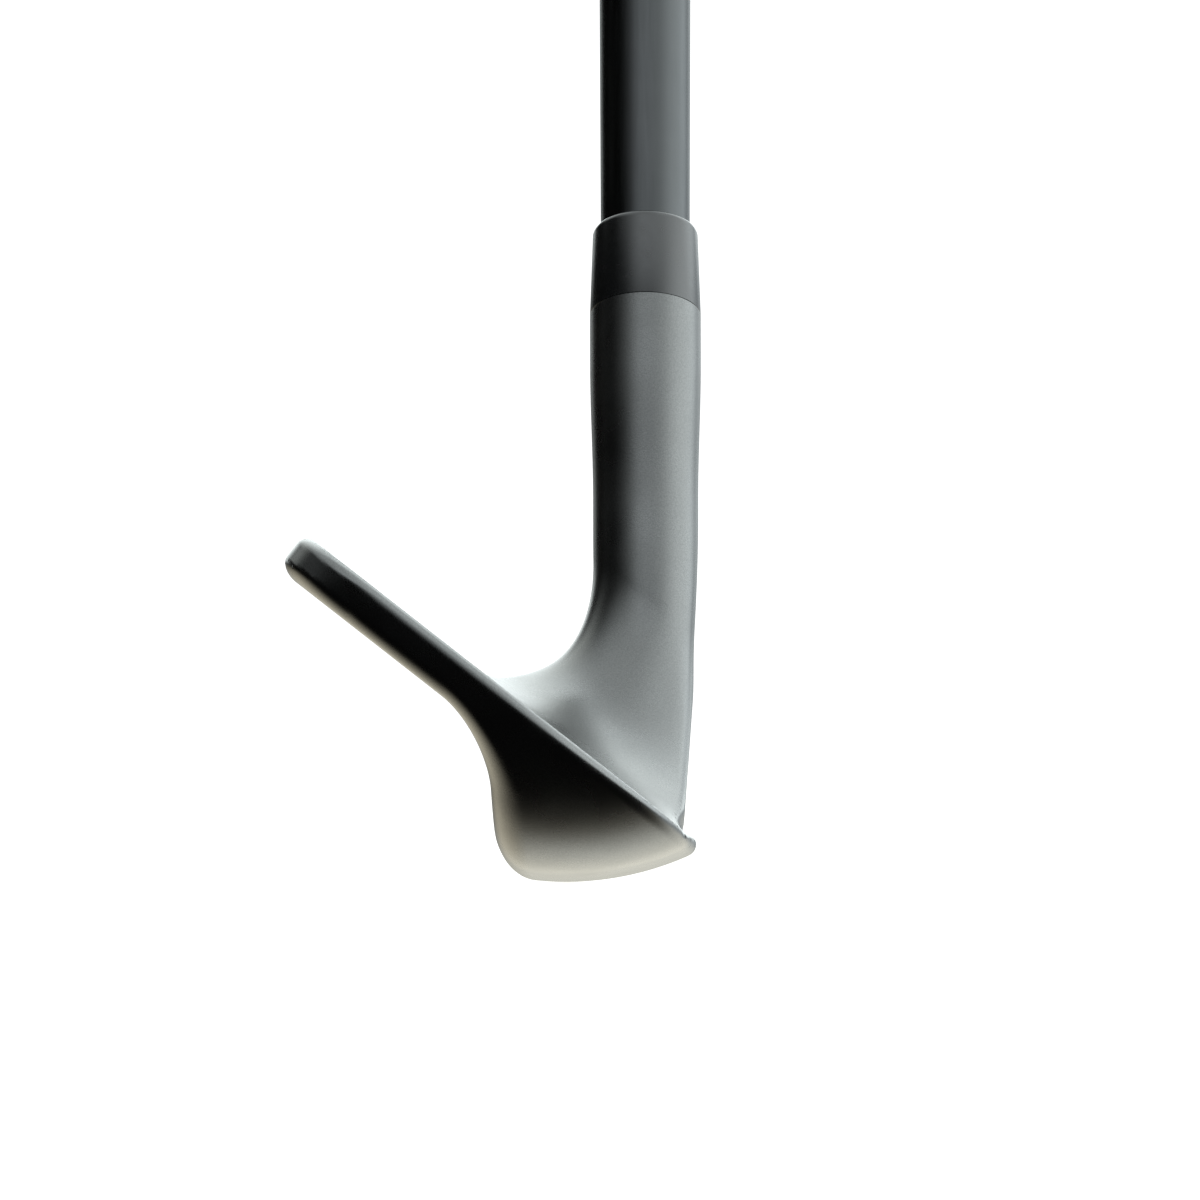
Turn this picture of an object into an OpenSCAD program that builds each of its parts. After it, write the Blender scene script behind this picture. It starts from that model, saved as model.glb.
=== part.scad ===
// A 52 degree iron (gap wedge), right-handed, soled at address.
// +X points at the target, +Y from the toe to the heel, +Z up.
// The origin is the point where the sole touches the ground.

/* [Head] */
// Loft of the face, degrees back from vertical
loft = 52; // [50:0.5:54]
// Thickness of the blade behind the face
blade_t = 5.05; // [4.5:0.05:5.6]
// Height of the face along its slope, leading edge to top of the toe
face_h = 55.4; // [54:0.2:56.6]
// Distance from the sole contact point to the end of the toe
toe_reach = 45; // [44:0.5:46]
// Distance from the sole contact point forward to the leading edge
lead_reach = 14.3; // [14:0.1:14.6]
// Height of the leading edge above the ground
lead_h = 5.42; // [5.2:0.1:5.6]
// Distance from the sole contact point back to the muscle
muscle_reach = 8.35; // [8:0.05:8.7]
// Radius of the sole from leading to trailing edge
sole_r = 34.7; // [32:0.5:38]

/* [Hosel] */
// Lie angle of the shaft from the ground
lie = 64.5; // [64:0.5:65.5]
// Where the shaft axis meets the ground, towards the heel
heel_reach = 33; // [32:0.5:34]
// Where the shaft axis stands, towards the target
axis_x = 9.31; // [9:0.1:9.6]
// Outer diameter of the hosel at its top
hosel_d = 12.88; // [12.6:0.1:13.4]
// Length along the shaft axis from the ground to the top of the hosel
hosel_top = 72.6; // [70:0.5:76]
// Depth of the hosel bore
bore_depth = 34; // [30:0.5:35]
// Thickness of the glue around the shaft tip
glue_t = 0.06; // [0.04:0.01:0.12]

/* [Ferrule] */
// Length of the ferrule
ferrule_l = 11.1; // [9:0.1:14]
// Outer diameter at the ferrule's upper end
ferrule_top_d = 12.2; // [11.8:0.1:12.6]

/* [Shaft] */
// Length of the club along the shaft axis, ground to butt cap
club_l = 902; // [860:1:940]
// Diameter of the shaft tip inside the hosel (0.370 inch)
tip_d = 9.4; // [9.2:0.1:9.5]
// Diameter of the shaft where it leaves the ferrule
shaft_low_d = 10.32; // [10:0.02:10.8]
// Diameter of the shaft at the butt (0.600 inch)
butt_d = 15.24; // [14.6:0.02:15.6]
// Wall of the shaft at the tip
tip_wall = 0.85; // [0.7:0.05:1.1]
// Wall of the shaft at the butt
butt_wall = 0.4; // [0.35:0.05:0.6]

/* [Grip] */
// Length of the grip with its cap
grip_l = 267; // [250:1:275]
// Outer diameter of the grip at its mouth
grip_mouth_d = 18.4; // [18:0.1:20]
// Outer diameter of the grip below its cap
grip_butt_d = 26.6; // [25:0.1:28]
// Diameter of the butt cap
cap_d = 31; // [30:0.1:33]
// Thickness of the butt cap
cap_t = 4.5; // [4:0.1:6]
// Thickness of the tape under the grip
tape_t = 0.25; // [0.2:0.05:0.4]
// Diameter of the vent hole in the cap
vent_d = 3; // [2.6:0.1:3.4]

/* [Hidden] */
$fn = 64;

// Face: unit normal [fx, fz] forwards and up, and its distance from the origin.
fx = cos(loft);
fz = sin(loft);
face_gap = lead_reach * fx + lead_h * fz;

// Blade and muscle
crown_y = -31;                   // where the top line reaches the full face height
crown_r = 15;                    // corner between top line and toe
top_fall = 21.5;                 // degrees that the top line falls towards the heel
toe_r = 21;                      // rise of the sole into the toe
sole_rocker = 600;               // sole lifts by y^2 / sole_rocker towards toe and heel
sole_half_w = 25;                // the sole's curve is worked out no further than this
muscle_lean = 2.5;               // degrees that the muscle leans back
muscle_toe_in = 1.5;             // degrees that the muscle narrows towards the heel
muscle_y = -18;
muscle_z = 14;
muscle_fillet = 5;
blade_past_axis = 3;             // the blade ends so far beyond the shaft axis
blade_end_r = 2;

// Edges: round all round the face, growing softer with the distance behind it.
edge_r = 1.38;
edge_growth = 9;
trail_r = 3.8;
nose_lean = -0.48;               // cosine between the outward normals of face and sole

// Heel: the web between hosel and blade, stopped in front by a leaning flat.
web_r = 18.8;
web_fade = 5;                    // the web fades to nothing over this height above the sole
heel_front_x = 13.15;
heel_front_lean = 0.0765;
heel_front_r = 1;
nose_out = 2.5;                  // the leading edge stands clear of the flat
nose_top = 6;
nose_step = 1.5;
heel_cut_x = 3;
heel_cut_turn = 37;
heel_cut_r = 10;

// Hosel: straight above neck_z, thinning below it towards the sole.
neck_r = 6.1;
neck_z = 40;
neck_thinning = 1.79;
neck_span = 33.8;
neck_power = 1.8;
flare_z = 44;
flare_h = 16;

// Places along the shaft axis
bore_d = tip_d + 2 * glue_t;
bore_floor = hosel_top - bore_depth;
weight_flange = 1;
glue_floor = 0.5;
tip_end = bore_floor + glue_floor + weight_flange;
step_l = 8;                      // the shaft swells from tip_d to shaft_low_d inside the ferrule
weight_l = 18;
plug_l = 8;
lip_r = 0.9;                     // rounding of the ferrule's upper edge
tape_gap = 4;                    // the tape stops short of the grip's mouth
mouth_r = 1.2;                   // rounding of the grip's mouth
cap_edge_r = 2.5;
grip_mouth = club_l - grip_l;
butt_end = club_l - cap_t;
swell_end = grip_mouth - 60;     // the shaft's taper eases off here
swell_drop = 0.5;                // radius still to grow above swell_end

function ease(t) = let (c = min(max(t, 0), 1)) c * c * (3 - 2 * c);

// Distance fields are negative inside the metal.
// Where a and b overlap, the corner between them gets the radius r. lean is the cosine of
// the angle between their outward normals: 0 for a square corner, negative for a wedge.
function rounded(a, b, r, lean = 0) =
    let (
        in_a = a + r,
        in_b = b + r,
        round_it = in_a > lean * in_b && in_b > lean * in_a,
        squared = (in_a * in_a + in_b * in_b - 2 * lean * in_a * in_b) / (1 - lean * lean)
    )
    (round_it ? sqrt(max(squared, 0)) : max(in_a, in_b)) - r;

// Where a and b join, the inner corner between them gets the radius r.
function filleted(a, b, r) = max(min(a, b), r) - norm([max(r - a, 0), max(r - b, 0)]);

// Across the shaft axis, positive on the heel side
function beside_axis(y, z) = (y - heel_reach) * sin(lie) - z * cos(lie);

function neck_radius(z) =
    neck_r - neck_thinning * pow(max(neck_z - z, 0) / neck_span, neck_power)
    + (hosel_d / 2 - neck_r) * ease((z - flare_z) / flare_h);

function hosel_field(x, y, z) = norm([x - axis_x, beside_axis(y, z)]) - neck_radius(z);

function muscle_field(x, y, z) =
    let (
        lean = tan(muscle_lean),
        toe_in = tan(muscle_toe_in),
        slant = norm([1, lean, toe_in]),
        back = (-muscle_reach - x + (muscle_z - z) * lean + (y - muscle_y) * toe_in) / slant,
        heel_cut = beside_axis(y, z) * cos(heel_cut_turn) - (x - heel_cut_x) * sin(heel_cut_turn)
    )
    rounded(back, heel_cut, heel_cut_r);

// The sole is curved from leading to trailing edge, and sweeps up into the toe wall.
// Returns the distance, and how squarely the sole faces the ground there (0 to 1).
function sole_field(x, y, z) =
    let (
        lift = sole_r - sqrt(sole_r * sole_r - min(x * x, sole_half_w * sole_half_w)) + y * y / sole_rocker,
        across = min(y + toe_reach - toe_r, 0),
        down = min(z - lift - toe_r, 0)
    )
    [norm([across, down]) - toe_r, -down / toe_r];

function blade_field(x, y, z) =
    let (
        ahead = x * fx + z * fz - face_gap,
        up_face = (lead_reach - x) * fz + (z - lead_h) * fx,
        rear = filleted(-ahead - blade_t, muscle_field(x, y, z), muscle_fillet),
        slab = rounded(max(rear, ahead), beside_axis(y, z) - blade_past_axis, blade_end_r),
        top_line = (up_face - face_h) * cos(top_fall) + (y - crown_y) * sin(top_fall),
        sole = sole_field(x, y, z),
        outline = rounded(top_line, sole[0], crown_r),
        behind = ease((-ahead - edge_r) / edge_growth)
    )
    rounded(slab, outline, mix(edge_r, trail_r, behind), nose_lean * sole[1] * (1 - behind));

function head_field(p) =
    let (
        x = p[0],
        y = p[1],
        z = p[2],
        sole = sole_field(x, y, z)[0],
        hosel = rounded(hosel_field(x, y, z), sole, trail_r),
        body = filleted(blade_field(x, y, z), hosel, web_r * ease(-sole / web_fade)),
        heel_front = heel_front_x + heel_front_lean * z + nose_out * ease((nose_top - z) / nose_step)
    )
    rounded(body, x - heel_front, heel_front_r);

// Walks from a point inside the head along a unit direction to its skin. Each step is a
// little shorter than the field allows, because the field is steep where the web fades.
walk_share = 0.5;
long_walk = 60;
function skin(p, dir, steps = 36) =
    steps == 0 ? p : skin(p - walk_share * head_field(p) * dir, dir, steps - 1);

// The skin is a stack of rings. A ring's plane stands upright along the blade, swings
// about a pivot above the crotch, and lies square to the shaft axis along the hosel.
// A ring has a heart inside the metal and a spine from there to its upper end, and each
// of its rays leaves the spine. neck is 0 on the blade and 1 on the hosel.
toe_rings = 14;
blade_rings = 10;
neck_rings = 16;
hosel_rings = 8;
pivot = [14, 44];
heart_depth = 3.1;               // behind the face
heart_up = 8.7;                  // up the face from the leading edge
toe_heart_up = 30;
least_spine = 0.4;               // shortest spine of a blade ring, as a share of the way to its upper end
first_slice = 0.15;              // from the end of the toe to the first ring
heart = heart_at(heart_up, 0);
heart_shift = 30;                // the heart moves to the shaft axis over this length
neck_from = 30;                  // tilt where rings start to turn into hosel rings

// Rays of a blade ring, as [place along the spine, direction, follow]: up the face, round
// the top line, down the back, then round the muscle, the sole and the leading edge. A ray
// with follow 1 turns with the blade's slope as the ring's plane tilts, and 0 stays put.
nose_dir = 336;
nose_fan = 10;
FACE_RAYS = [for (k = [0:11]) [k / 12, loft, 1]];
TOP_RAYS = [for (k = [0:11]) [1, loft + 180 * k / 12, 1]];
BACK_RAYS = [for (k = [0:15]) [1 - k / 16, loft + 180, 1]];
SOLE_RAYS = [for (k = [0:9]) [0, mix(loft + 180, nose_dir - nose_fan, k / 10), 1 - k / 10]];
NOSE_RAYS = [for (k = [0:9]) [0, nose_dir + nose_fan * (k / 5 - 1), 0]];
LEAD_RAYS = [for (k = [0:5]) [0, mix(nose_dir + nose_fan, loft + 360, k / 6), k / 6]];
RAYS = concat(FACE_RAYS, TOP_RAYS, BACK_RAYS, SOLE_RAYS, NOSE_RAYS, LEAD_RAYS);
ray_count = len(RAYS);
first_dir = -20;                 // direction of ray 0 on the hosel

function heart_at(up_face, y) = [
    lead_reach - up_face * fz - heart_depth * fx,
    y,
    lead_h + up_face * fx - heart_depth * fz
];

function mix(a, b, t) = a + (b - a) * t;

function in_plane(dir, tilt) = [cos(dir), -sin(dir) * sin(tilt), sin(dir) * cos(tilt)];

// slope is the direction square to the face, as a plane with that tilt cuts it.
function ring(middle, tilt, neck) =
    let (
        slope = atan2(fz * cos(tilt), fx),
        up = in_plane(mix(slope + 90, 90, neck), tilt),
        reach = norm(skin(middle, up, long_walk) - middle),
        spine = max(reach - mix(blade_t / 2, neck_r, neck), least_spine * reach * (1 - neck))
    )
    [for (k = [0:ray_count - 1])
        let (
            blade_dir = RAYS[k][1] + RAYS[k][2] * (slope - loft),
            dir = mix(blade_dir, first_dir + 360 * k / ray_count, neck)
        )
        skin(middle + RAYS[k][0] * spine * up, in_plane(dir, tilt))];

function toe_ring(t) =
    let (
        y = mix(toe_tip[1] + first_slice, toe_r - toe_reach, 1 - cos(90 * t)),
        up_face = mix(toe_heart_up, heart_up, ease(t))
    )
    ring(heart_at(up_face, y), 0, 0);

function neck_ring(tilt) =
    let (
        along = ((pivot[0] - heel_reach) * cos(tilt) + pivot[1] * sin(tilt)) / cos(lie - tilt),
        low_y = pivot[0] + (pivot[1] - heart[2]) * tan(tilt),
        on_axis = along * sin(lie) > heart[2],
        y = on_axis ? heel_reach + along * cos(lie) : low_y,
        z = on_axis ? along * sin(lie) : heart[2],
        x = mix(heart[0], axis_x, ease((y - pivot[0]) / heart_shift))
    )
    ring([x, y, z], tilt, ease((tilt - neck_from) / (lie - neck_from)));

function hosel_ring(along) = ring(on_shaft(along), lie, 1);

function on_shaft(along) = [axis_x, heel_reach + along * cos(lie), along * sin(lie)];

// Stations along the shaft axis are measured from the ground.
module along_shaft(station) {
    translate(on_shaft(station))
        rotate([lie - 90, 0, 0])
            children();
}

toe_tip = skin(heart_at(toe_heart_up, -toe_reach / 2), [0, -1, 0], long_walk);

module head_skin() {
    neck_end = (pivot[0] - heel_reach) * cos(lie) + pivot[1] * sin(lie);
    rings = concat(
        [for (i = [0:toe_rings - 1]) toe_ring(i / toe_rings)],
        [for (i = [0:blade_rings - 1])
            ring(heart_at(heart_up, mix(toe_r - toe_reach, pivot[0], i / blade_rings)), 0, 0)],
        [for (i = [0:neck_rings - 1]) neck_ring(lie * i / neck_rings)],
        [for (i = [0:hosel_rings]) hosel_ring(mix(neck_end, hosel_top, i / hosel_rings))]
    );
    last = len(rings) - 1;
    points = concat([for (r = rings) each r], [toe_tip, on_shaft(hosel_top)]);
    bands = [for (i = [0:last - 1], k = [0:ray_count - 1])
        let (
            a = i * ray_count + k,
            b = i * ray_count + (k + 1) % ray_count
        )
        each [[a, b, b + ray_count], [a, b + ray_count, a + ray_count]]];
    toe_cap = [for (k = [0:ray_count - 1]) [len(points) - 2, (k + 1) % ray_count, k]];
    top_cap = [for (k = [0:ray_count - 1])
        [len(points) - 1, last * ray_count + k, last * ray_count + (k + 1) % ray_count]];
    polyhedron(points, concat(bands, toe_cap, top_cap), convexity = 6);
}

module head() {
    color("#6e7375")
    difference() {
        head_skin();
        along_shaft(bore_floor)
            cylinder(h = bore_depth + 1, d = bore_d);
    }
}

// Glue round the shaft tip, with the drop that it squeezes out under the tip weight
module hosel_epoxy() {
    color("#c9b27a")
    along_shaft(bore_floor)
        difference() {
            cylinder(h = bore_depth, d = bore_d);
            translate([0, 0, glue_floor])
                cylinder(h = bore_depth, d = tip_d);
        }
}

module ferrule() {
    color("#35383a")
    along_shaft(hosel_top)
        rotate_extrude() {
            bore = tip_d / 2;
            swell = shaft_low_d / 2;
            top = ferrule_top_d / 2;
            polygon(concat(
                [[bore, 0], [hosel_d / 2, 0], [top, ferrule_l - lip_r]],
                [for (a = [15:15:90])
                    [top - lip_r + lip_r * cos(a), ferrule_l - lip_r + lip_r * sin(a)]],
                [[swell, ferrule_l], [swell, step_l]]
            ));
        }
}

// Outer radius and wall of the shaft, from its tip to its butt
SHAFT_OUTER = [
    [tip_end, tip_d / 2],
    [hosel_top, tip_d / 2],
    [hosel_top + step_l, shaft_low_d / 2],
    [swell_end, butt_d / 2 - swell_drop],
    [butt_end, butt_d / 2]
];

module shaft() {
    color("#5d6264")
    along_shaft(0)
        rotate_extrude()
            polygon(concat(
                [for (p = SHAFT_OUTER) [p[1], p[0]]],
                [for (i = [len(SHAFT_OUTER) - 1:-1:0])
                    let (p = SHAFT_OUTER[i])
                    [p[1] - mix(tip_wall, butt_wall, (p[0] - tip_end) / (butt_end - tip_end)), p[0]]]
            ));
}

module tip_weight() {
    color("#b8933f")
    along_shaft(tip_end - weight_flange) {
        cylinder(h = weight_flange, d = tip_d);
        translate([0, 0, weight_flange])
            cylinder(h = weight_l, d = tip_d - 2 * tip_wall);
    }
}

module tip_plug() {
    color("#b98a5a")
    along_shaft(tip_end + weight_l)
        cylinder(h = plug_l, d = tip_d - 2 * tip_wall);
}

// Radius of the shaft under the grip
function butt_r(station) =
    mix(butt_d / 2 - swell_drop, butt_d / 2, (station - swell_end) / (butt_end - swell_end));

module grip_tape() {
    color("#e8e2cf")
    along_shaft(0)
        rotate_extrude()
            polygon([
                [butt_r(grip_mouth + tape_gap), grip_mouth + tape_gap],
                [butt_r(grip_mouth + tape_gap) + tape_t, grip_mouth + tape_gap],
                [butt_d / 2 + tape_t, butt_end],
                [butt_d / 2, butt_end]
            ]);
}

module grip() {
    color("#26282a")
    along_shaft(0)
        rotate_extrude()
            polygon([
                [butt_r(grip_mouth) + tape_t, grip_mouth],
                [grip_mouth_d / 2 - mouth_r, grip_mouth],
                [grip_mouth_d / 2, grip_mouth + mouth_r],
                [grip_butt_d / 2, butt_end],
                [butt_d / 2 + tape_t, butt_end]
            ]);
}

module grip_cap() {
    color("#1d1f20")
    along_shaft(butt_end)
        difference() {
            rotate_extrude()
                polygon(concat(
                    [[0, 0], [grip_butt_d / 2, 0]],
                    [for (a = [-60:15:90])
                        [cap_d / 2 - cap_edge_r + cap_edge_r * cos(a), cap_t / 2 + cap_t / 2 * sin(a)]],
                    [[0, cap_t]]
                ));
            translate([0, 0, -1])
                cylinder(h = cap_t + 2, d = vent_d);
        }
}

head();
hosel_epoxy();
ferrule();
shaft();
tip_weight();
tip_plug();
grip_tape();
grip();
grip_cap();
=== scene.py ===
import math

import bmesh
import bpy
import numpy as np
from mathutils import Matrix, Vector


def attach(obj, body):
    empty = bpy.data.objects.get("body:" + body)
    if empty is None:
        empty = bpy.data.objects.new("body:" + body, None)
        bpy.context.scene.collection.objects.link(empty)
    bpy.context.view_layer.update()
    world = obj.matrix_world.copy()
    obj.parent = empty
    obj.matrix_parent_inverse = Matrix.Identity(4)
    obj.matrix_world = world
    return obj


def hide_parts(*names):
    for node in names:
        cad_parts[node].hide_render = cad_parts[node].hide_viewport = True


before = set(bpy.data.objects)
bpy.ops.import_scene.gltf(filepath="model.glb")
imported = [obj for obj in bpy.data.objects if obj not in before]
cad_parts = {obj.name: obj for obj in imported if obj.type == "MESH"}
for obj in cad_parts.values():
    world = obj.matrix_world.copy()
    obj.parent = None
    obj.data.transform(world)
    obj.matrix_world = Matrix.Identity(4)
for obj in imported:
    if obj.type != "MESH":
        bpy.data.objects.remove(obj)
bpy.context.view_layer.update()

MM = 0.001

# ---------------------------------------------------------------- the head's shape, in millimetres
# +X points at the target, +Y from toe to heel, +Z up, and the sole touches the ground at the origin.
LOFT = 52
LIE = 64.5
FX = math.cos(math.radians(LOFT))
FZ = math.sin(math.radians(LOFT))
LIE_COS = math.cos(math.radians(LIE))
LIE_SIN = math.sin(math.radians(LIE))

BLADE_T = 5.05
FACE_H = 55.4
TOE_REACH = 45
TOE_R = 21
LEAD_REACH = 14.3
LEAD_H = 5.42
FACE_GAP = LEAD_REACH * FX + LEAD_H * FZ
MUSCLE_REACH = 8.35
MUSCLE_LEAN = math.tan(math.radians(2.5))
MUSCLE_TOE_IN = math.tan(math.radians(1.5))
MUSCLE_Y = -18
MUSCLE_Z = 14
MUSCLE_FILLET = 5
BLADE_PAST_AXIS = 3
BLADE_END_R = 2
SOLE_R = 34.7
SOLE_HALF_W = 25
SOLE_ROCKER = 600
CROWN_Y = -31
CROWN_R = 15
TOP_FALL = math.radians(21.5)
EDGE_R = 1.38
EDGE_GROWTH = 9
NOSE_LEAN = -0.48
TRAIL_R = 3.8
WEB_R = 18.8
WEB_FADE = 5
HEEL_FRONT_X = 13.15
HEEL_FRONT_LEAN = 0.0765
HEEL_FRONT_R = 1
NOSE_OUT = 2.5
NOSE_TOP = 6
NOSE_STEP = 1.5

HEEL_REACH = 33
AXIS_X = 9.31
HOSEL_R = 6.44
HOSEL_TOP = 72.6
NECK_R = 6.1
NECK_Z = 40
NECK_THINNING = 1.79
NECK_SPAN = 33.8
NECK_POWER = 1.8
FLARE_Z = 44
FLARE_H = 16
HEEL_CUT_X = 3
HEEL_CUT_TURN = math.radians(37)
HEEL_CUT_R = 10
BORE_R = 4.76
BORE_DEPTH = 34
MOUTH_BEVEL = 0.25
HOSEL_SPARE = 2


def ease(t):
    t = np.clip(t, 0, 1)
    return t * t * (3 - 2 * t)


def mix(a, b, t):
    return a + (b - a) * t


def rounded(a, b, r, lean=0):
    """Overlap of two distance fields, with the outer corner rounded to r.

    lean is the cosine of the angle between their outward normals: negative where they meet
    in a wedge.
    """
    a, b = a + r, b + r
    round_it = (a > lean * b) & (b > lean * a)
    squared = (a * a + b * b - 2 * lean * a * b) / (1 - lean * lean)
    return np.where(round_it, np.sqrt(np.maximum(squared, 0)), np.maximum(a, b)) - r


def filleted(a, b, r):
    """Union of two distance fields, with the inner corner filled to r."""
    return np.maximum(np.minimum(a, b), r) - np.hypot(np.maximum(r - a, 0), np.maximum(r - b, 0))


def beside_axis(y, z):
    """Distance across the shaft axis, positive on the heel side."""
    return (y - HEEL_REACH) * LIE_SIN - z * LIE_COS


def hosel_field(x, y, z):
    thinning = NECK_THINNING * (np.maximum(NECK_Z - z, 0) / NECK_SPAN) ** NECK_POWER
    flare = (HOSEL_R - NECK_R) * ease((z - FLARE_Z) / FLARE_H)
    return np.hypot(x - AXIS_X, beside_axis(y, z)) - (NECK_R - thinning + flare)


def muscle_field(x, y, z):
    back = -MUSCLE_REACH - x + (MUSCLE_Z - z) * MUSCLE_LEAN + (y - MUSCLE_Y) * MUSCLE_TOE_IN
    back = back / math.hypot(1, MUSCLE_LEAN, MUSCLE_TOE_IN)
    heel_cut = beside_axis(y, z) * math.cos(HEEL_CUT_TURN) - (x - HEEL_CUT_X) * math.sin(HEEL_CUT_TURN)
    return rounded(back, heel_cut, HEEL_CUT_R)


def sole_field(x, y, z):
    """The sole and the toe wall that curves up from it, and how squarely they face the ground."""
    lift = SOLE_R - np.sqrt(SOLE_R**2 - np.minimum(x * x, SOLE_HALF_W**2)) + y * y / SOLE_ROCKER
    across = np.minimum(y + TOE_REACH - TOE_R, 0)
    down = np.minimum(z - lift - TOE_R, 0)
    return np.hypot(across, down) - TOE_R, -down / TOE_R


def blade_field(x, y, z):
    ahead = x * FX + z * FZ - FACE_GAP
    up_face = (LEAD_REACH - x) * FZ + (z - LEAD_H) * FX
    rear = filleted(-ahead - BLADE_T, muscle_field(x, y, z), MUSCLE_FILLET)
    slab = rounded(np.maximum(rear, ahead), beside_axis(y, z) - BLADE_PAST_AXIS, BLADE_END_R)
    top_line = (up_face - FACE_H) * math.cos(TOP_FALL) + (y - CROWN_Y) * math.sin(TOP_FALL)
    sole, facing_down = sole_field(x, y, z)
    behind = ease((-ahead - EDGE_R) / EDGE_GROWTH)
    edge = mix(EDGE_R, TRAIL_R, behind)
    return rounded(slab, rounded(top_line, sole, CROWN_R), edge, NOSE_LEAN * facing_down * (1 - behind))


def head_field(p):
    x, y, z = p[..., 0], p[..., 1], p[..., 2]
    sole, _ = sole_field(x, y, z)
    web = WEB_R * ease(-sole / WEB_FADE)
    body = filleted(blade_field(x, y, z), rounded(hosel_field(x, y, z), sole, TRAIL_R), web)
    heel_front = HEEL_FRONT_X + HEEL_FRONT_LEAN * z + NOSE_OUT * ease((NOSE_TOP - z) / NOSE_STEP)
    return rounded(body, x - heel_front, HEEL_FRONT_R)


def slope(p, field=head_field, step=0.01):
    """The gradient of a field at the points p."""
    sides = []
    for axis in range(3):
        shift = np.zeros(3)
        shift[axis] = step
        sides.append(field(p + shift) - field(p - shift))
    return np.stack(sides, axis=-1) / (2 * step)


def normal_at(p, field=head_field):
    g = slope(p, field)
    return g / np.linalg.norm(g, axis=-1, keepdims=True)


LEAST_SLOPE_SQUARED = 0.25


def settled(p, steps, field=head_field):
    """Moves points that are near a field's skin straight onto it."""
    for _ in range(steps):
        g = slope(p, field)
        p = p - (field(p) / np.maximum((g * g).sum(axis=-1), LEAST_SLOPE_SQUARED))[..., None] * g
    return p


def on_shaft(along):
    return np.array([AXIS_X, HEEL_REACH + along * LIE_COS, along * LIE_SIN])


def beside_top(p):
    """Height above the top of the hosel, along the shaft."""
    return (p - on_shaft(HOSEL_TOP)) @ np.array([0, LIE_COS, LIE_SIN])


def stock_field(p):
    """The head with its hosel left too long, before it is trimmed."""
    return np.maximum(head_field(p), beside_top(p) - HOSEL_SPARE)


# ---------------------------------------------------------------- the head's mesh
CELL = 0.5
BLOCK_LOW = (-34.25, -47.25, -1.25)
BLOCK_HIGH = (18.25, 73.25, 71.25)


def head_samples(origin, counts):
    """The head's field at the corners of a block of cubic cells."""
    samples = np.empty(counts + 1)
    y, z = np.meshgrid(*(origin[i] + CELL * np.arange(counts[i] + 1) for i in (1, 2)), indexing="ij")
    for i in range(counts[0] + 1):
        x = np.full_like(y, origin[0] + CELL * i)
        samples[i] = stock_field(np.stack([x, y, z], axis=-1))
    return samples


def shifted(array, axis, step):
    """The array without its first or last layer along an axis."""
    cut = [slice(None)] * 3
    cut[axis] = slice(step, array.shape[axis] - 1 + step)
    return array[tuple(cut)]


def head_mesh():
    """One corner in each cell that the skin passes through, settled on the skin, joined by quads."""
    origin = np.array(BLOCK_LOW)
    counts = np.round((np.array(BLOCK_HIGH) - origin) / CELL).astype(int)
    inside = head_samples(origin, counts) < 0
    corners = np.zeros(counts, int)
    for i in (0, 1):
        for j in (0, 1):
            for k in (0, 1):
                corners += shifted(shifted(shifted(inside, 0, i), 1, j), 2, k)
    cells = (corners > 0) & (corners < 8)
    number = np.full(counts, -1)
    number[cells] = np.arange(cells.sum())
    middles = origin + CELL * (np.argwhere(cells) + 0.5)
    verts = np.clip(settled(middles, 6, stock_field), middles - CELL, middles + CELL)
    faces = []
    for axis in range(3):
        crossed = shifted(inside, axis, 0) != shifted(inside, axis, 1)
        leaving = shifted(inside, axis, 0)[crossed]
        u, v = (axis + 1) % 3, (axis + 2) % 3
        edge = np.argwhere(crossed)
        quad = []
        for du, dv in ((1, 1), (0, 1), (0, 0), (1, 0)):
            cell = edge.copy()
            cell[:, u] -= du
            cell[:, v] -= dv
            quad.append(number[tuple(cell.T)])
        quad = np.stack(quad, axis=1)
        quad[~leaving] = quad[~leaving][:, ::-1]
        faces.append(quad)
    return new_object("wedge_head", verts, np.concatenate(faces).tolist())


def new_object(name, verts, faces):
    """A smooth mesh object from points in millimetres."""
    mesh = bpy.data.meshes.new(name)
    mesh.from_pydata([tuple(MM * c for c in v) for v in verts], [], faces)
    mesh.validate()
    mesh.update()
    mesh.polygons.foreach_set("use_smooth", [True] * len(mesh.polygons))
    obj = bpy.data.objects.new(name, mesh)
    bpy.context.scene.collection.objects.link(obj)
    return obj


# ---------------------------------------------------------------- what is cut into the head
SCORE_COUNT = 14
SCORE_PITCH = 3.1
SCORE_LOW = 6
SCORE_TOE_Y = -37
SCORE_HEEL_Y = 8
SCORE_R = 0.4
SCORE_DEPTH = 0.35
SCORE_RUN_OUT = 4
SCORE_RISE = 0.05
SCORE_MARGIN = 4
SCORE_CORNERS = 24
BORE_SIDES = 96
TRIM_PAST = 3                    # the trimming disc is wider than the hosel by this much
TRIM_H = 12


def prism(low, high):
    """Points and faces of a solid between two matching outlines."""
    n = len(low)
    faces = [tuple(reversed(range(n))), tuple(range(n, 2 * n))]
    faces += [(k, (k + 1) % n, n + (k + 1) % n, n + k) for k in range(n)]
    return list(low) + list(high), faces


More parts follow.
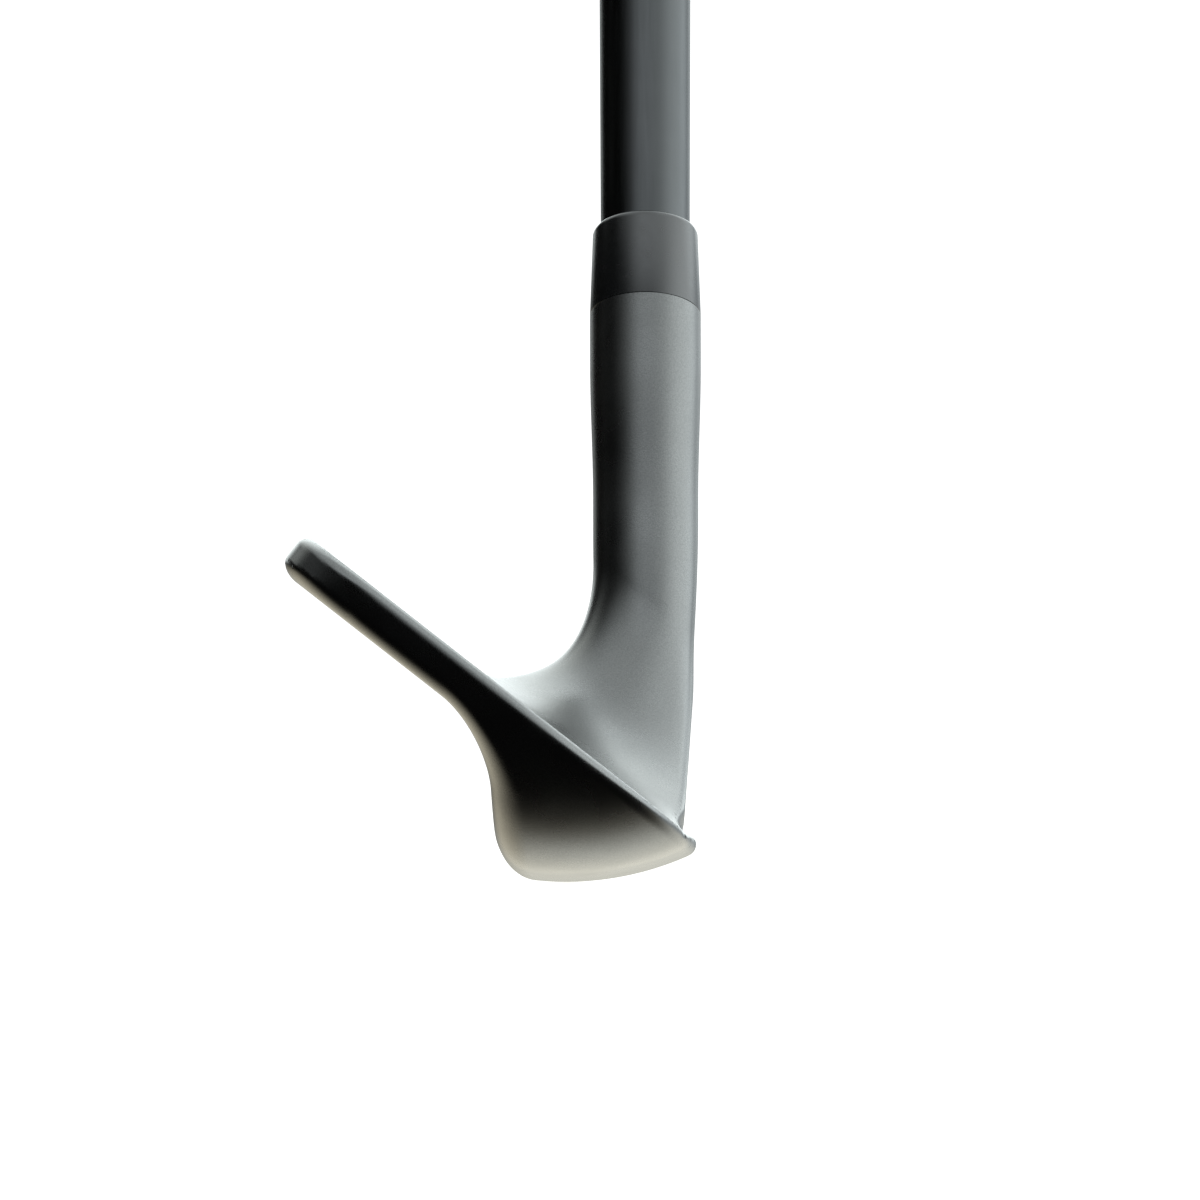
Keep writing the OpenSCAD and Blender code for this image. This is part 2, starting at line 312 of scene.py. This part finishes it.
def score_line(up_face):
    """A score line across the face: round ends, and a floor that runs out towards them."""
    heel_y = min(SCORE_HEEL_Y, CROWN_Y + (FACE_H - up_face - SCORE_MARGIN) / math.tan(TOP_FALL))
    outline = []
    for k in range(SCORE_CORNERS):
        a = 2 * math.pi * (k + 0.5) / SCORE_CORNERS
        heelward = math.cos(a) > 0
        outline.append((math.sin(a), math.cos(a), heelward))

    def at(depth, half_width, inset):
        points = []
        for across, along, heelward in outline:
            end_y = heel_y - inset if heelward else SCORE_TOE_Y + inset
            u = up_face + half_width * across
            y = end_y + half_width * along
            points.append(np.array([
                LEAD_REACH - u * FZ - depth * FX,
                y,
                LEAD_H + u * FX - depth * FZ,
            ]))
        return points

    floor = at(SCORE_DEPTH, SCORE_R / 2, SCORE_RUN_OUT)
    above = SCORE_RISE / SCORE_DEPTH
    return prism(floor, at(-SCORE_RISE, SCORE_R * (1 + above / 2), -SCORE_RUN_OUT * above))


def arc(cx, cy, rx, ry, start, end, steps=10):
    angles = np.radians(np.linspace(start, end, steps + 1))
    return [(cx + rx * math.cos(a), cy + ry * math.sin(a)) for a in angles]


def hosel_bore():
    """The shaft's hole, with all that stands above the top of the hosel."""
    side = np.cross([1, 0, 0], [0, LIE_COS, LIE_SIN])
    verts, faces = [], []
    profile = [
        (BORE_R, HOSEL_TOP - BORE_DEPTH),
        (BORE_R, HOSEL_TOP - MOUTH_BEVEL),
        (BORE_R + MOUTH_BEVEL, HOSEL_TOP),
        (HOSEL_R + TRIM_PAST, HOSEL_TOP),
        (HOSEL_R + TRIM_PAST, HOSEL_TOP + TRIM_H),
    ]
    around = BORE_SIDES
    for radius, station in profile:
        for k in range(around):
            a = 2 * math.pi * k / around
            spoke = math.cos(a) * np.array([1, 0, 0]) + math.sin(a) * side
            verts.append(on_shaft(station) + radius * spoke)
    for i in range(len(profile) - 1):
        for k in range(around):
            a, b = i * around + k, i * around + (k + 1) % around
            faces.append((a, b, b + around, a + around))
    faces.append(tuple(reversed(range(around))))
    faces.append(tuple(range(len(verts) - around, len(verts))))
    return verts, faces


def outward(obj):
    mesh = bmesh.new()
    mesh.from_mesh(obj.data)
    bmesh.ops.recalc_face_normals(mesh, faces=mesh.faces)
    mesh.to_mesh(obj.data)
    mesh.free()


def cut(obj, solids):
    """Cuts the solids out of obj with an exact boolean, applied to the mesh."""
    verts, faces = [], []
    for v, f in solids:
        faces += [tuple(i + len(verts) for i in face) for face in f]
        verts += v
    cutter = new_object("cutter", verts, faces)
    outward(cutter)
    modifier = obj.modifiers.new("cut", "BOOLEAN")
    modifier.operation = "DIFFERENCE"
    modifier.solver = "EXACT"
    modifier.use_self = True
    modifier.object = cutter
    result = bpy.data.meshes.new_from_object(obj.evaluated_get(bpy.context.evaluated_depsgraph_get()))
    obj.modifiers.clear()
    obj.data = result
    bpy.data.objects.remove(cutter)


ON_SKIN = 0.02
BELOW_TOP = 0.01
SKIN_FACING = 0.8                # a face turned further from the field's normal is a cut wall


def shade_by_field(obj):
    """Gives the skin the normals of the field, and the cut walls their own flat ones."""
    mesh = obj.data
    co = np.empty(3 * len(mesh.vertices))
    mesh.vertices.foreach_get("co", co)
    p = co.reshape(-1, 3) / MM
    off_skin = np.abs(head_field(p)) > ON_SKIN
    off_skin |= beside_top(p) > -BELOW_TOP
    skin_normals = normal_at(p)
    loops = np.empty(len(mesh.loops), int)
    mesh.loops.foreach_get("vertex_index", loops)
    normals = skin_normals[loops]
    for poly in mesh.polygons:
        span = slice(poly.loop_start, poly.loop_start + poly.loop_total)
        facing = normals[span] @ np.array(poly.normal)
        if off_skin[loops[span]].any() or facing.min() < SKIN_FACING:
            normals[span] = poly.normal
    mesh.normals_split_custom_set([tuple(n) for n in normals])


# ---------------------------------------------------------------- turned pieces along the shaft
FERRULE_L = 11.1
FERRULE_TOP_R = 6.1
LIP_R = 0.9
TIP_R = 4.7
SHAFT_LOW_R = 5.16
STEP_L = 8
BUTT_R = 7.62
CLUB_L = 902
CAP_T = 4.5
CAP_R = 15.5
CAP_EDGE_R = 2.5
GRIP_L = 267
GRIP_MOUTH_R = 9.2
GRIP_BUTT_R = 13.3
MOUTH_R = 1.2
TAPE_T = 0.25
VENT_R = 1.5
TIP_CLEAR = 1.5                  # glue and weight flange under the shaft's tip
TIP_END = HOSEL_TOP - BORE_DEPTH + TIP_CLEAR
TIP_WALL = 0.85
BUTT_WALL = 0.4
GRIP_MOUTH = CLUB_L - GRIP_L
BUTT_END = CLUB_L - CAP_T
SWELL_END = GRIP_MOUTH - 60
SWELL_DROP = 0.5                 # radius still to grow above SWELL_END
SHARP_ANGLE = math.radians(38)
FOOT_R = 0.12


def turned(name, profile, around=128, relief=None):
    """Turns a closed profile of (radius, station) about the shaft axis. relief changes the radius."""
    side = np.array([0, LIE_SIN, -LIE_COS])
    ahead = np.array([1.0, 0, 0])
    verts, faces = [], []
    for radius, station in profile:
        for k in range(around):
            a = 2 * math.pi * k / around
            r = radius + (relief(radius, station, a) if relief else 0)
            verts.append(on_shaft(station) + r * (math.cos(a) * ahead + math.sin(a) * side))
    n = len(profile)
    for i in range(n):
        for k in range(around):
            a, b = i * around + k, i * around + (k + 1) % around
            c, d = (i + 1) % n * around + (k + 1) % around, (i + 1) % n * around + k
            faces.append((a, b, c, d))
    obj = new_object(name, verts, faces)
    outward(obj)
    obj.data.set_sharp_from_angle(angle=SHARP_ANGLE)
    return obj


def subdivided(profile, step):
    """The same profile with points no further apart than step."""
    out = []
    for (r0, s0), (r1, s1) in zip(profile, profile[1:]):
        count = max(1, math.ceil(math.hypot(r1 - r0, s1 - s0) / step))
        out += [(mix(r0, r1, k / count), mix(s0, s1, k / count)) for k in range(count)]
    return out + [profile[-1]]


def make_ferrule():
    top = HOSEL_TOP + FERRULE_L
    lip = arc(FERRULE_TOP_R - LIP_R, top - LIP_R, LIP_R, LIP_R, 0, 90, 12)
    foot = arc(HOSEL_R - FOOT_R, HOSEL_TOP + FOOT_R, FOOT_R, FOOT_R, -90, 0, 5)
    inner = [(SHAFT_LOW_R, top), (SHAFT_LOW_R, HOSEL_TOP + STEP_L), (TIP_R, HOSEL_TOP)]
    return turned("collar", foot + lip + inner, 192)


def make_shaft():
    outer = [
        (TIP_R, TIP_END),
        (TIP_R, HOSEL_TOP),
        (SHAFT_LOW_R, HOSEL_TOP + STEP_L),
        (BUTT_R - SWELL_DROP, SWELL_END),
        (BUTT_R, BUTT_END),
    ]
    inner = [
        (r - mix(TIP_WALL, BUTT_WALL, (s - TIP_END) / (BUTT_END - TIP_END)), s)
        for r, s in reversed(outer)
    ]
    return turned("shaft_tube", subdivided(outer, 12) + subdivided(inner, 40), 160)


GRIP_ROWS = 62
GRIP_COLUMNS = 22
GRIP_RELIEF = 0.45
BAND_ENDS = (0.05, 0.955)        # the pockets lie between these shares of the grip
BAND_FADE = 0.015
RING_PLACES = (0.03, 0.97)
RING_W = 0.9
INNER_MARGIN = 0.5


def grip_relief(radius, station, angle):
    """A field of slanted pockets with plain bands at both ends, pressed into the rubber."""
    if radius < BUTT_R + TAPE_T + INNER_MARGIN:
        return 0
    t = (station - GRIP_MOUTH) / (BUTT_END - GRIP_MOUTH)
    band = ease((t - BAND_ENDS[0]) / BAND_FADE) * (1 - ease((t - BAND_ENDS[1]) / BAND_FADE))
    rings = sum(math.exp(-(((t - place) * GRIP_L / RING_W) ** 2)) for place in RING_PLACES)
    row = t * GRIP_ROWS
    turn = angle / (2 * math.pi) * GRIP_COLUMNS + 0.5 * (math.floor(row) % 2)
    across = (turn - math.floor(turn) - 0.5) * 2
    along = (row - math.floor(row) - 0.5) * 2
    pocket = 1 - ease((math.hypot(across * 1.25, along * 1.1) - 0.55) / 0.3)
    return -GRIP_RELIEF * (band * pocket + rings)


def make_grip():
    mouth = arc(GRIP_MOUTH_R - MOUTH_R, GRIP_MOUTH + MOUTH_R, MOUTH_R, MOUTH_R, -90, 0, 8)
    outer = subdivided(mouth[-1:] + [(GRIP_BUTT_R, BUTT_END)], 0.55)
    lap = mix(BUTT_R - SWELL_DROP, BUTT_R, (GRIP_MOUTH - SWELL_END) / (BUTT_END - SWELL_END))
    inner = subdivided([(BUTT_R + TAPE_T, BUTT_END), (lap + TAPE_T, GRIP_MOUTH)], 30)
    return turned("grip_sleeve", mouth[:-1] + outer + inner, 264, grip_relief)


GROOVE_AT = 9.5
GROOVE_W = 0.6
GROOVE_H = 0.4
VENT_BEVEL = 0.3


def make_cap():
    edge = arc(CAP_R - CAP_EDGE_R, BUTT_END + CAP_T / 2, CAP_EDGE_R, CAP_T / 2, -60, 90, 24)
    top = BUTT_END + CAP_T
    groove = arc(GROOVE_AT, top, GROOVE_W, GROOVE_H, 0, -180, 10)
    vent = [(VENT_R + VENT_BEVEL, top), (VENT_R, top - VENT_BEVEL)]
    profile = [(VENT_R, BUTT_END), (GRIP_BUTT_R, BUTT_END)] + edge + groove + vent
    return turned("butt_cap", profile, 192)


# ---------------------------------------------------------------- materials
class Nodes:
    """A new material, with short ways to add the nodes that its finish needs."""

    def __init__(self, name, base, roughness, metallic=0.0):
        self.material = bpy.data.materials.new(name)
        self.material.use_nodes = True
        self.tree = self.material.node_tree
        self.shader = self.tree.nodes["Principled BSDF"]
        self.shader.inputs["Base Color"].default_value = (*base, 1)
        self.shader.inputs["Roughness"].default_value = roughness
        self.shader.inputs["Metallic"].default_value = metallic
        self.place = self.tree.nodes.new("ShaderNodeTexCoord").outputs["Object"]
        self.bumps = None

    def set(self, **values):
        for name, value in values.items():
            self.shader.inputs[name.replace("_", " ")].default_value = value

    def stretched(self, scale, turn=(0, 0, 0)):
        node = self.tree.nodes.new("ShaderNodeMapping")
        node.inputs["Scale"].default_value = scale
        node.inputs["Rotation"].default_value = turn
        self.tree.links.new(self.place, node.inputs["Vector"])
        return node.outputs["Vector"]

    def noise(self, size_mm, detail=2.0, where=None):
        node = self.tree.nodes.new("ShaderNodeTexNoise")
        node.inputs["Scale"].default_value = 1 / (size_mm * MM)
        node.inputs["Detail"].default_value = detail
        self.tree.links.new(where or self.place, node.inputs["Vector"])
        return node.outputs["Fac"]

    def ranged(self, value, low, high, start=0.3, end=0.7):
        node = self.tree.nodes.new("ShaderNodeMapRange")
        for name, number in (("From Min", start), ("From Max", end), ("To Min", low), ("To Max", high)):
            node.inputs[name].default_value = number
        self.tree.links.new(value, node.inputs["Value"])
        return node.outputs["Result"]

    def blend_colour(self, factor, a, b):
        node = self.tree.nodes.new("ShaderNodeMix")
        node.data_type = "RGBA"
        node.inputs["A"].default_value = (*a, 1)
        node.inputs["B"].default_value = (*b, 1)
        self.tree.links.new(factor, node.inputs["Factor"])
        self.tree.links.new(node.outputs["Result"], self.shader.inputs["Base Color"])

    def rough(self, value):
        self.tree.links.new(value, self.shader.inputs["Roughness"])

    def bump(self, height, depth_mm):
        node = self.tree.nodes.new("ShaderNodeBump")
        node.inputs["Strength"].default_value = 1
        node.inputs["Distance"].default_value = depth_mm * MM
        self.tree.links.new(height, node.inputs["Height"])
        if self.bumps:
            self.tree.links.new(self.bumps, node.inputs["Normal"])
        self.bumps = node.outputs["Normal"]
        self.tree.links.new(self.bumps, self.shader.inputs["Normal"])


def blasted_steel():
    m = Nodes("blasted_steel", (0.42, 0.425, 0.42), 0.28, 1.0)
    grain = m.noise(0.16, 1.0)
    m.blend_colour(m.ranged(grain, 0, 1), (0.38, 0.386, 0.382), (0.48, 0.484, 0.478))
    m.rough(m.ranged(m.noise(6, 3.0), 0.25, 0.31))
    m.bump(grain, 0.0045)
    m.bump(m.noise(0.5, 2.0), 0.0015)
    return m.material


def dark_plating():
    m = Nodes("dark_plating", (0.21, 0.22, 0.222), 0.24, 1.0)
    lines = m.noise(0.3, 2.0, m.stretched((1, 0.04, 0.04), (math.radians(90 - LIE), 0, 0)))
    m.blend_colour(m.noise(3.0, 3.0), (0.205, 0.213, 0.217), (0.225, 0.233, 0.237))
    m.rough(m.ranged(lines, 0.21, 0.27))
    m.bump(lines, 0.0006)
    return m.material


def black_plastic():
    """Turned and polished black plastic: it mirrors the studio about as strongly as the shaft does."""
    m = Nodes("black_plastic", (0.03, 0.032, 0.034), 0.24)
    m.set(IOR=2.4, Coat_Weight=0.6, Coat_IOR=1.9, Coat_Roughness=0.2)
    m.blend_colour(m.noise(2.0, 2.0), (0.026, 0.028, 0.03), (0.034, 0.036, 0.038))
    m.rough(m.ranged(m.noise(1.2, 4.0), 0.2, 0.28))
    m.bump(m.noise(0.4, 2.0), 0.0006)
    return m.material


def grip_rubber():
    m = Nodes("grip_rubber", (0.022, 0.022, 0.023), 0.62)
    m.blend_colour(m.noise(5.0, 4.0), (0.018, 0.018, 0.019), (0.034, 0.034, 0.035))
    m.rough(m.ranged(m.noise(2.0, 3.0), 0.52, 0.72))
    m.bump(m.noise(0.25, 2.0), 0.03)
    return m.material


def plain_kind(name, low, high, roughness, grain_mm, depth_mm, metallic=0.0):
    """A simple finish for the pieces inside: two close tones, varied gloss and a fine grain."""
    m = Nodes(name, low, roughness, metallic)
    grain = m.noise(grain_mm, 4.0)
    m.blend_colour(m.ranged(grain, 0, 1), low, high)
    m.rough(m.ranged(grain, roughness * 0.85, roughness * 1.15))
    m.bump(grain, depth_mm)
    return m.material


def dress(obj, material):
    obj.data.materials.clear()
    obj.data.materials.append(material)


def dress_node(name, material):
    """Puts a material on a CAD node's own object, through its slots."""
    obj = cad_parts[name]
    if not obj.material_slots:
        obj.data.materials.append(material)
    for slot in obj.material_slots:
        slot.link = "OBJECT"
        slot.material = material


def replace_piece(obj, node, material):
    dress(obj, material)
    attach(obj, "root")
    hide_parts(node)


# ---------------------------------------------------------------- the club
head = head_mesh()
score_lines = [score_line(SCORE_LOW + k * SCORE_PITCH) for k in range(SCORE_COUNT)]
cut(head, score_lines + [hosel_bore()])
shade_by_field(head)
rubber = grip_rubber()
replace_piece(head, "head", blasted_steel())
replace_piece(make_ferrule(), "ferrule", black_plastic())
replace_piece(make_shaft(), "shaft", dark_plating())
replace_piece(make_grip(), "grip", rubber)
replace_piece(make_cap(), "grip_cap", rubber)
epoxy = plain_kind("cured_epoxy", (0.5, 0.38, 0.2), (0.62, 0.5, 0.28), 0.4, 0.8, 0.004)
brass = plain_kind("turned_brass", (0.66, 0.47, 0.18), (0.78, 0.6, 0.28), 0.3, 0.3, 0.003, 1.0)
cork = plain_kind("cork", (0.42, 0.25, 0.13), (0.66, 0.46, 0.28), 0.8, 0.9, 0.08)
paper = plain_kind("tape_paper", (0.7, 0.66, 0.55), (0.82, 0.79, 0.69), 0.75, 0.5, 0.02)
dress_node("hosel_epoxy", epoxy)
dress_node("tip_weight", brass)
dress_node("tip_plug", cork)
dress_node("grip_tape", paper)

# ---------------------------------------------------------------- floor, light and camera
FRAME_MM = 137.93                # width of the view
VIEW_X = 3.91
VIEW_Z = 32.4
EYE_X = -8
EYE_Z = 16
CAMERA_AWAY = 6.0
SENSOR = 36
FLOOR_HALF = 30
FLOOR_DROP = 0.0001
PAST_ALL = 60                    # metres: how far the camera sees
SURROUND = 1.2
LEAST_LIGHT = (0.003, 0.003, 0.003)


def add_floor():
    size = FLOOR_HALF
    mesh = bpy.data.meshes.new("floor")
    corners = [(-size, -size, 0), (size, -size, 0), (size, size, 0), (-size, size, 0)]
    mesh.from_pydata(corners, [], [(0, 1, 2, 3)])
    floor = bpy.data.objects.new("floor", mesh)
    floor.location.z = -FLOOR_DROP
    bpy.context.scene.collection.objects.link(floor)
    material = bpy.data.materials.new("pale_floor")
    material.use_nodes = True
    shader = material.node_tree.nodes["Principled BSDF"]
    shader.inputs["Base Color"].default_value = (0.8, 0.8, 0.8, 1)
    shader.inputs["Roughness"].default_value = 0.9
    shader.inputs["Specular IOR Level"].default_value = 0
    shader.inputs["Emission Color"].default_value = (1, 0.975, 0.93, 1)
    shader.inputs["Emission Strength"].default_value = 1.0
    mesh.materials.append(material)
    floor.visible_glossy = False
    floor.visible_diffuse = False
    floor.visible_shadow = False


# Soft studio panels all round the object: a colour, and for each axis the stretch of directions
# over which the panel fades in. An axis with a minus sign fades in the other way.
# Most of these numbers are the output of a numerical fit, run in a separate script, to the
# tones of the steel, and some were then changed by hand.
PANELS = [
    ((0.42, 0.45, 0.455), {"z": (0.56, 0.99)}),
    ((0.28, 0.30, 0.315), {"z": (0.63, 0.78), "-y": (0.36, 0.65)}),
    ((0.37, 0.41, 0.43), {"x": (-0.52, 0.16), "y": (0.17, 0.62)}),
    ((3.3, 3.5, 3.4), {"y": (0.17, 1.97), "z": (0.29, 0.63)}),
    ((1.35, 1.24, 0.97), {"y": (-0.11, 1.69), "-z": (-0.05, 0.35)}),
    ((2.03, 2.18, 2.20), {"x": (0.08, 1.88), "z": (0.06, 0.22)}),
    ((1.5, 1.6, 1.58), {"y": (0.80, 1.00), "z": (0.0, 0.12)}),
]


class WorldNodes:
    """Short ways to add nodes to the world, and to work out soft panels in them."""

    def __init__(self, tree):
        self.tree = tree
        place = tree.nodes.new("ShaderNodeTexCoord").outputs["Generated"]
        split = tree.nodes.new("ShaderNodeSeparateXYZ")
        tree.links.new(place, split.inputs[0])
        self.axes = {name.lower(): split.outputs[name] for name in "XYZ"}

    def fade(self, axis, start, end):
        """0 to 1 as the direction's part along an axis goes from start to end."""
        node = self.tree.nodes.new("ShaderNodeMapRange")
        node.interpolation_type = "SMOOTHSTEP"
        sign = -1 if axis.startswith("-") else 1
        low, high = (sign * start, sign * end) if sign > 0 else (sign * end, sign * start)
        ends = (0, 1) if sign > 0 else (1, 0)
        for name, number in zip(("From Min", "From Max", "To Min", "To Max"), (low, high) + ends):
            node.inputs[name].default_value = number
        self.tree.links.new(self.axes[axis[-1]], node.inputs["Value"])
        return node.outputs["Result"]

    def maths(self, kind, a, b):
        node = self.tree.nodes.new("ShaderNodeVectorMath")
        node.operation = kind
        for socket, value in zip(node.inputs, (a, b)):
            if isinstance(value, tuple):
                socket.default_value = value
            else:
                self.tree.links.new(value, socket)
        return node.outputs[0]

    def panel(self, colour, fades):
        light = colour
        for axis, (start, end) in fades.items():
            light = self.maths("MULTIPLY", self.fade(axis, start, end), light)
        return light


def add_world():
    """A white surround for the camera, and soft studio panels for the object's reflections."""
    world = bpy.data.worlds.new("studio")
    bpy.context.scene.world = world
    world.use_nodes = True
    tree = world.node_tree
    studio = WorldNodes(tree)
    total = LEAST_LIGHT
    for colour, fades in PANELS:
        total = studio.maths("ADD", studio.panel(colour, fades), total)
    light = tree.nodes["Background"]
    tree.links.new(total, light.inputs["Color"])
    white = tree.nodes.new("ShaderNodeBackground")
    white.inputs["Color"].default_value = (1, 1, 1, 1)
    white.inputs["Strength"].default_value = SURROUND
    seen = tree.nodes.new("ShaderNodeLightPath").outputs["Is Camera Ray"]
    choice = tree.nodes.new("ShaderNodeMixShader")
    tree.links.new(seen, choice.inputs[0])
    tree.links.new(light.outputs[0], choice.inputs[1])
    tree.links.new(white.outputs[0], choice.inputs[2])
    tree.links.new(choice.outputs[0], tree.nodes["World Output"].inputs["Surface"])


def add_camera():
    data = bpy.data.cameras.new("camera")
    data.sensor_width = SENSOR
    data.lens = SENSOR * CAMERA_AWAY / (FRAME_MM * MM)
    data.clip_end = PAST_ALL
    camera = bpy.data.objects.new("camera", data)
    camera.location = (EYE_X * MM, -CAMERA_AWAY, EYE_Z * MM)
    aim = Vector((VIEW_X * MM, 0, VIEW_Z * MM))
    camera.rotation_euler = (aim - camera.location).to_track_quat("-Z", "Y").to_euler()
    bpy.context.scene.collection.objects.link(camera)
    bpy.context.scene.camera = camera


add_floor()
add_world()
add_camera()
bpy.context.scene.view_settings.view_transform = "Standard"
